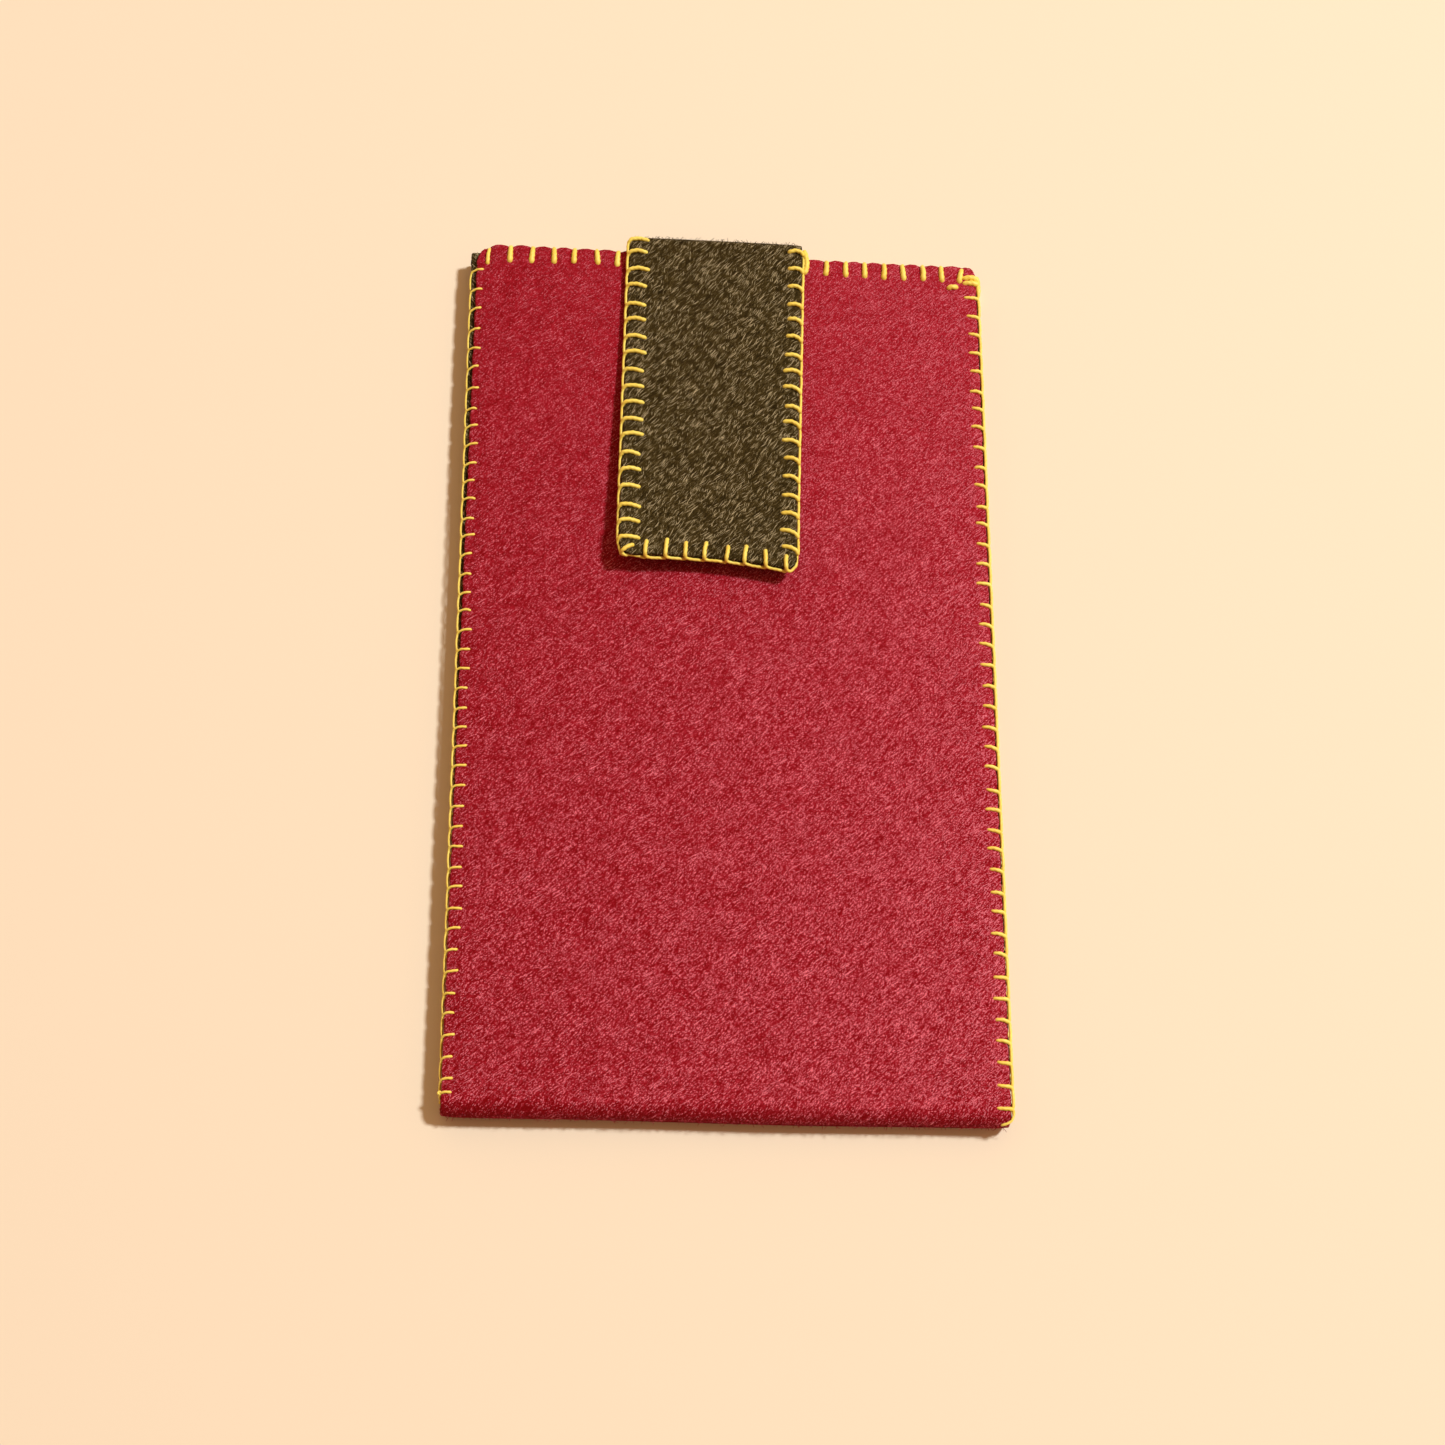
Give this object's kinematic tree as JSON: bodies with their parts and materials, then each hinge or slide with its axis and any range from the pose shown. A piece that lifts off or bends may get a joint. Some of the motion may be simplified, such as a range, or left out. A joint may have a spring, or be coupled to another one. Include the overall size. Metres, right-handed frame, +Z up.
{
  "type": "felt needle case",
  "caption": "Closed felt needle case: a folded, lined cover with blanket-stitched edges, a needle leaf inside and a closing tab over its top edge.",
  "frame": {"origin": "middle of the back cover's flat underside, where the closed case rests", "axes": "+X to the case's right, +Y from the fold to the open top edges and the tab, +Z up out of the front cover"},
  "size_m": [0.1032, 0.1807, 0.0088],
  "materials": {
    "red_felt": "crimson felt, matt, fibrous",
    "olive_felt": "dark olive felt, matt, fibrous",
    "leaf_felt": "cream felt, matt, fibrous",
    "yellow_thread": "golden yellow embroidery thread, soft sheen",
    "loop_tape": "black loop pile",
    "hook_tape": "black hook tape"
  },
  "bodies": {
    "back_cover": {"back_outer_felt": "red_felt", "back_lining_felt": "olive_felt", "back_left_edge_thread": "yellow_thread", "back_right_edge_thread": "yellow_thread", "back_top_edge_thread": "yellow_thread", "tab_root_felt": "olive_felt", "tab_anchor_thread": "yellow_thread"},
    "spine": {"spine_outer_felt": "red_felt", "spine_lining_felt": "olive_felt"},
    "front_cover": {"front_outer_felt": "red_felt", "front_lining_felt": "olive_felt", "front_left_edge_thread": "yellow_thread", "front_right_edge_thread": "yellow_thread", "front_top_edge_thread": "yellow_thread", "loop_patch": "loop_tape", "loop_patch_thread": "yellow_thread"},
    "needle_leaf": {"needle_leaf": "leaf_felt", "needle_leaf_thread": "yellow_thread"},
    "tab_bend": {"tab_bend_outer_felt": "olive_felt", "tab_bend_inner_felt": "olive_felt"},
    "tab": {"tab_outer_felt": "olive_felt", "tab_inner_felt": "olive_felt", "tab_edge_thread": "yellow_thread", "hook_patch": "hook_tape", "hook_patch_thread": "yellow_thread"}
  },
  "joints": [
    {"name": "spine_fold", "type": "hinge", "parent": "back_cover", "child": "spine", "pos_m": [0, -0.08785, 0.00105], "axis": [1, 0, 0], "range_deg": [0, 90], "deforming": ["spine_outer_felt", "spine_lining_felt"]},
    {"name": "cover_fold", "type": "hinge", "parent": "spine", "child": "front_cover", "pos_m": [0, -0.08785, 0.00465], "axis": [1, 0, 0], "range_deg": [0, 90]},
    {"name": "leaf_turn", "type": "hinge", "parent": "back_cover", "child": "needle_leaf", "pos_m": [0, -0.08205, 0.0024], "axis": [1, 0, 0], "range_deg": [0, 40]},
    {"name": "tab_root_fold", "type": "hinge", "parent": "back_cover", "child": "tab_bend", "pos_m": [0, 0.0904, 0.00162], "axis": [-1, 0, 0], "range_deg": [0, 90], "deforming": ["tab_bend_outer_felt", "tab_bend_inner_felt"]},
    {"name": "tab_fold", "type": "hinge", "parent": "tab_bend", "child": "tab", "pos_m": [0, 0.0904, 0.0079], "axis": [-1, 0, 0], "range_deg": [0, 90], "deforming": ["tab_outer_felt", "tab_inner_felt", "tab_edge_thread", "hook_patch", "hook_patch_thread"]}
  ],
  "couplings": [
    {"joint": "cover_fold", "follows": "spine_fold", "ratio": 1},
    {"joint": "leaf_turn", "follows": "spine_fold", "ratio": 0.444},
    {"joint": "tab_root_fold", "follows": "tab_fold", "ratio": 1}
  ]
}
